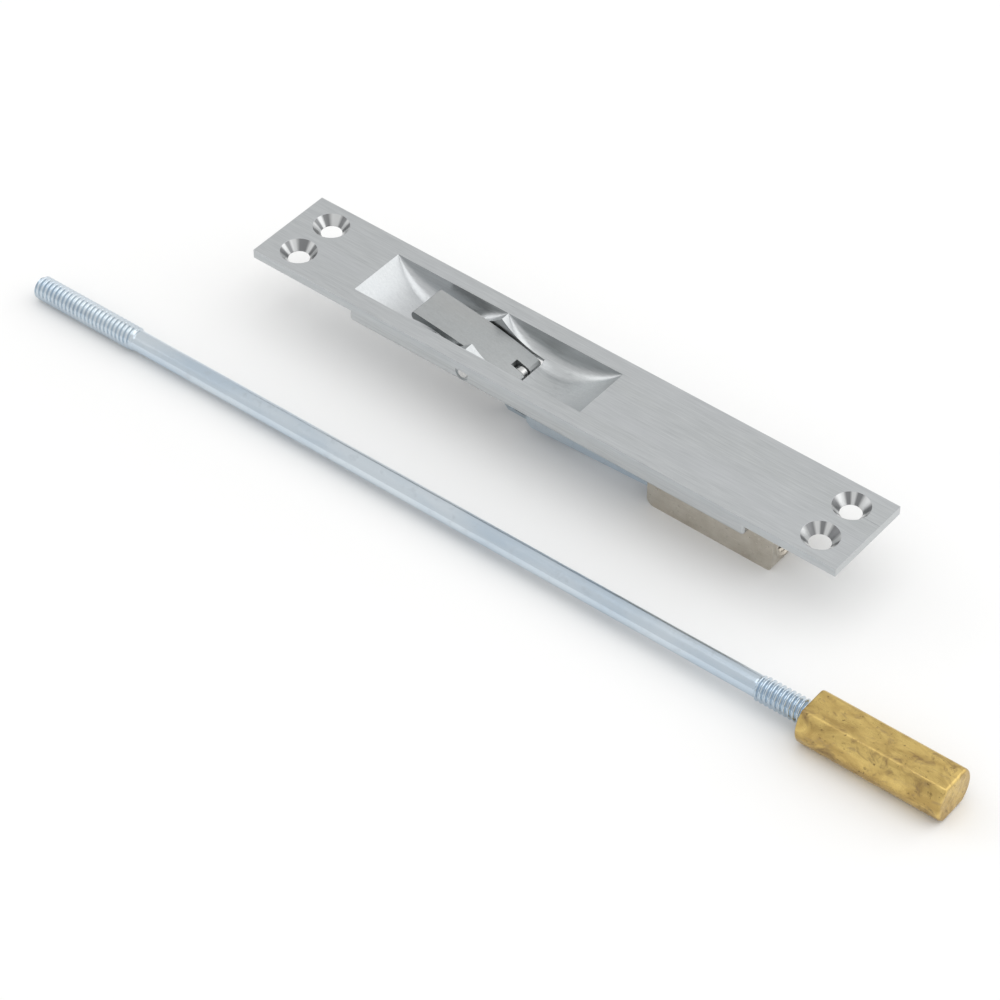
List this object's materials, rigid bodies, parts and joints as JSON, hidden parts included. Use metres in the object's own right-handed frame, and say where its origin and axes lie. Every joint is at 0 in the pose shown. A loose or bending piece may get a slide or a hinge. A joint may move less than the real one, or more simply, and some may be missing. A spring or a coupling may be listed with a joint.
{
  "type": "flush bolt",
  "caption": "Manual lever flush bolt: face plate with finger pocket, flip lever, sliding link and box under the housing, and a loose threaded extension rod with a brass double-D bolt tip.",
  "frame": {"origin": "centre of the front face of the face plate, which is the centre of its four screw holes", "axes": "+Z out of the face plate, away from the door; +X along the plate towards the end the rod screws into; +Y across the plate, away from the loose rod"},
  "size_m": [0.2678, 0.0589, 0.0203],
  "materials": {
    "satin_chrome": "satin chrome, brushed along the plate",
    "lever_metal": "fine satin, cast",
    "pin_steel": "plain steel, turned",
    "spring_steel": "rolled spring strip",
    "zinc_plate": "clear bluish zinc plate",
    "zinc_rod": "clear bluish zinc plate on cold-drawn rod, rolled threads",
    "nickel_plate": "warm nickel plate on folded sheet, handling scratches",
    "brass": "raw drawn brass, blotchy tarnish"
  },
  "bodies": {
    "housing": {"face_body": "satin_chrome", "lever_pivot_pin": "pin_steel", "guide_rivets": "pin_steel", "detent_spring": "spring_steel", "detent_rivet": "pin_steel"},
    "lever": {"lever": "lever_metal", "crank_pin": "pin_steel"},
    "roller": {"crank_roller": "pin_steel"},
    "slide": {"slide_link": "zinc_plate", "slide_box": "nickel_plate", "rod_bushing": "nickel_plate", "link_rivets": "nickel_plate"},
    "rod": {"extension_rod": "zinc_rod"},
    "bolt": {"bolt_head": "brass"}
  },
  "joints": [
    {"name": "lever_flip", "type": "hinge", "parent": "housing", "child": "lever", "pos_m": [-0.0234, 0, -0.0068], "axis": [0, 1, 0], "range_deg": [0, 143]},
    {"name": "roller_spin", "type": "hinge", "parent": "lever", "child": "roller", "pos_m": [-0.01321, 0, -0.00787], "axis": [0, 1, 0], "continuous": true},
    {"name": "slide_travel", "type": "slide", "parent": "housing", "child": "slide", "axis": [-1, 0, 0], "range_m": [0, 0.01905]},
    {"name": "rod_lift", "type": "slide", "parent": "housing", "child": "rod", "axis": [0, 0, 1], "range_m": [0, 0.08]},
    {"name": "bolt_turn", "type": "hinge", "parent": "rod", "child": "bolt", "pos_m": [0.11799, -0.03973, -0.01502], "axis": [0.9999, 0.0067, 0.0087], "continuous": true}
  ],
  "couplings": [
    {"joint": "lever_flip", "follows": "slide_travel", "rad_per_m": 131}
  ]
}
